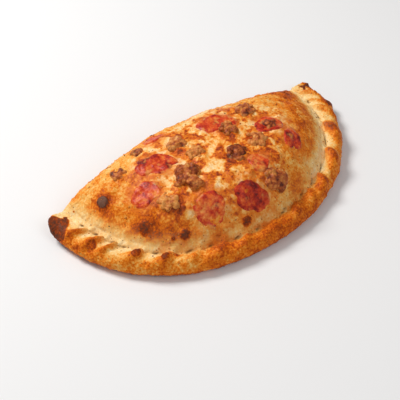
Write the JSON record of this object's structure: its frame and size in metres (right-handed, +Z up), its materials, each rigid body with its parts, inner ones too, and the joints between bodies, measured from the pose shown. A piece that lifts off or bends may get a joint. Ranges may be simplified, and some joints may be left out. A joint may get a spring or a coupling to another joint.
{
  "type": "calzone",
  "caption": "Baked calzone: a folded half-moon of dough with a pleated edge, topped with cheese, pepperoni slices and sausage lumps.",
  "frame": {"origin": "on the resting plane, under the centre of the bounding box", "axes": "+X along the fold towards the right tip as seen from the pleated side, +Y from the pleated edge towards the fold, +Z up"},
  "size_m": [0.2701, 0.1395, 0.0549],
  "materials": {
    "crust": "baked dough, golden brown with darker toasted patches",
    "cheese": "baked cheese, slightly oily",
    "pepperoni": "oily red cured meat",
    "sausage": "rough browned crumbled meat"
  },
  "bodies": {
    "root": {"crust": "crust", "cheese": "cheese", "pepperoni_1": "pepperoni", "pepperoni_2": "pepperoni", "pepperoni_3": "pepperoni", "pepperoni_4": "pepperoni", "pepperoni_5": "pepperoni", "pepperoni_6": "pepperoni", "pepperoni_7": "pepperoni", "pepperoni_8": "pepperoni", "pepperoni_9": "pepperoni", "sausage_1": "sausage", "sausage_2": "sausage", "sausage_3": "sausage", "sausage_4": "sausage", "sausage_5": "sausage", "sausage_6": "sausage", "sausage_7": "sausage", "sausage_8": "sausage", "sausage_9": "sausage", "sausage_10": "sausage", "sausage_11": "sausage", "sausage_12": "sausage"}
  },
  "joints": []
}
